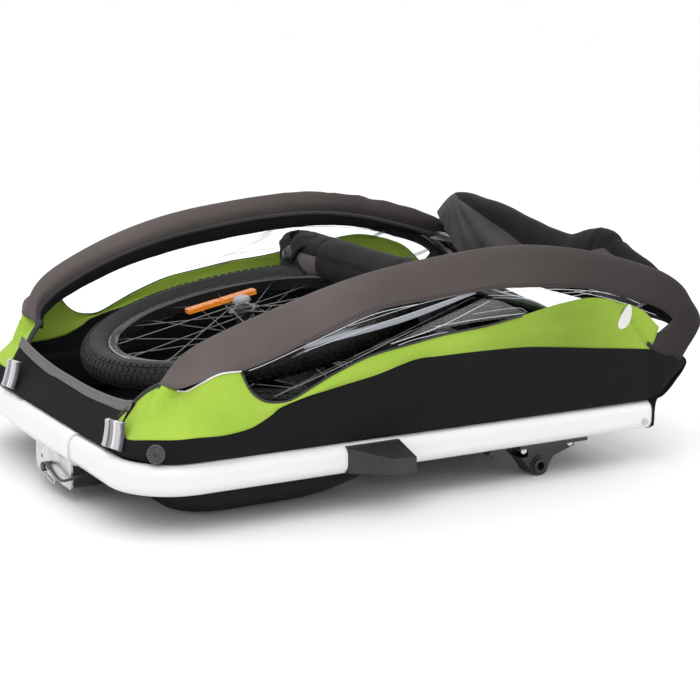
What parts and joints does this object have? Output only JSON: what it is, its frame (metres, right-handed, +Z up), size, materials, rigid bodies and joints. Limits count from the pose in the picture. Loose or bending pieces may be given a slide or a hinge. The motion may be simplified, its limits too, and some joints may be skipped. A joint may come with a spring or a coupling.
{
  "type": "child bicycle trailer",
  "caption": "Child bicycle trailer folded flat: hinged roll cage and seat back over a tubular frame, with quick-release wheels stowed inside.",
  "frame": {"origin": "centre of the footprint, on the ground under the tub and axle brackets", "axes": "+X towards the trailer's rear, +Y towards its right side, +Z up; its folded length runs along X"},
  "size_m": [0.9157, 0.764, 0.3536],
  "materials": {
    "white_paint": "glossy white powder coat",
    "black_plastic": "moulded, fine texture",
    "steel": "zinc-plated",
    "black_casting": "satin black",
    "knob_plastic": "moulded",
    "tether_cable": "coated cable",
    "frame_tube": "grey anodised tube",
    "tub_fabric": "coated woven",
    "seat_fabric": "padded woven",
    "black_fabric": "woven",
    "grey_webbing": "ribbed webbing",
    "lime_fabric": "woven",
    "patch_rubber": "embossed",
    "clip_metal": "polished",
    "side_fabric": "woven",
    "sleeve_fabric": "warm grey woven",
    "clear_vinyl": "clear flexible film",
    "strap_webbing": "webbing",
    "buckle_plastic": "glossy",
    "tyre_rubber": "light tread",
    "rim_alloy": "black sides, silver edge",
    "spoke_steel": "bright",
    "hub_plastic": "moulded",
    "button_plastic": "grey moulded",
    "amber_reflector": "prismatic"
  },
  "bodies": {
    "chassis": {"axle_bracket_left": "black_casting", "axle_bracket_right": "black_casting", "axle_bushes": "black_plastic", "axle_tube": "frame_tube", "bracket_bolts": "steel", "bumper_sleeve": "white_paint", "corner_panels": "lime_fabric", "corner_patches": "patch_rubber", "floor_panel": "tub_fabric", "footwell_tub": "tub_fabric", "frame_rail_left": "white_paint", "frame_rail_right": "white_paint", "front_hem": "grey_webbing", "front_panel": "black_fabric", "hitch_socket": "black_plastic", "lower_axle": "steel", "pin_tether": "tether_cable", "pivot_brackets": "black_casting", "pivot_pins": "steel", "rail_clamps": "black_plastic", "rail_end_caps": "black_plastic", "rail_rivets": "steel", "rear_bar": "frame_tube", "receiver_plate": "steel", "reflector_clips": "clip_metal", "seat_bar": "frame_tube", "seat_pad": "seat_fabric", "side_guards": "black_plastic", "side_panel_left": "side_fabric", "side_panel_right": "side_fabric"},
    "lock": {"lock_pin": "knob_plastic", "pin_clip": "steel"},
    "cage": {"hoop_tube_left": "frame_tube", "hoop_tube_right": "frame_tube", "hoop_cross_tube": "frame_tube", "hoop_sleeve_left": "sleeve_fabric", "hoop_sleeve_right": "sleeve_fabric", "roof_fabric": "black_fabric", "side_bands": "black_fabric", "side_windows": "clear_vinyl"},
    "backrest": {"backrest_frame": "frame_tube", "backrest_pad": "seat_fabric", "harness_straps": "strap_webbing", "harness_buckle": "buckle_plastic"},
    "headrest": {"headrest_flap": "seat_fabric"},
    "upper_carrier": {"upper_axle": "steel"},
    "upper_wheel": {"upper_tyre": "tyre_rubber", "upper_rim": "rim_alloy", "upper_spokes": "spoke_steel", "upper_hub": "hub_plastic", "upper_reflector": "amber_reflector"},
    "upper_button": {"upper_release_button": "button_plastic"},
    "lower_wheel": {"lower_tyre": "tyre_rubber", "lower_rim": "rim_alloy", "lower_spokes": "spoke_steel", "lower_hub": "hub_plastic", "lower_reflector": "amber_reflector"},
    "lower_button": {"lower_release_button": "button_plastic"}
  },
  "joints": [
    {"name": "cage_fold", "type": "hinge", "parent": "chassis", "child": "cage", "pos_m": [-0.398, 0, 0.122], "axis": [0, 1, 0], "range_deg": [-35, 0]},
    {"name": "backrest_fold", "type": "hinge", "parent": "chassis", "child": "backrest", "pos_m": [0.362, 0, 0.11], "axis": [0, 1, 0], "range_deg": [0, 50]},
    {"name": "headrest_fold", "type": "hinge", "parent": "backrest", "child": "headrest", "pos_m": [0.105, 0, 0.285], "axis": [0, 1, 0], "range_deg": [0, 84]},
    {"name": "upper_wheel_draw", "type": "slide", "parent": "chassis", "child": "upper_carrier", "axis": [-0.9224, -0.0995, 0.3731], "range_m": [0, 0.3]},
    {"name": "upper_wheel_spin", "type": "hinge", "parent": "upper_carrier", "child": "upper_wheel", "pos_m": [-0.11, 0.03, 0.2012], "axis": [-0.1891, 0, 0.982], "continuous": true},
    {"name": "upper_button_press", "type": "slide", "parent": "upper_carrier", "child": "upper_button", "axis": [0.1891, 0, -0.982], "range_m": [0, 0.004], "stiffness_N_per_m": 400},
    {"name": "lower_wheel_spin", "type": "hinge", "parent": "chassis", "child": "lower_wheel", "pos_m": [-0.03, -0.045, 0.1259], "axis": [0, 0.0598, 0.9982], "continuous": true},
    {"name": "lower_button_press", "type": "slide", "parent": "chassis", "child": "lower_button", "axis": [0, -0.0598, -0.9982], "range_m": [0, 0.004], "stiffness_N_per_m": 400},
    {"name": "lock_pin_pull", "type": "slide", "parent": "chassis", "child": "lock", "axis": [-1, 0, 0], "range_m": [0, 0.034]}
  ],
  "couplings": [
    {"joint": "backrest_fold", "follows": "cage_fold", "ratio": -1.4286},
    {"joint": "headrest_fold", "follows": "cage_fold", "ratio": -2.4}
  ]
}
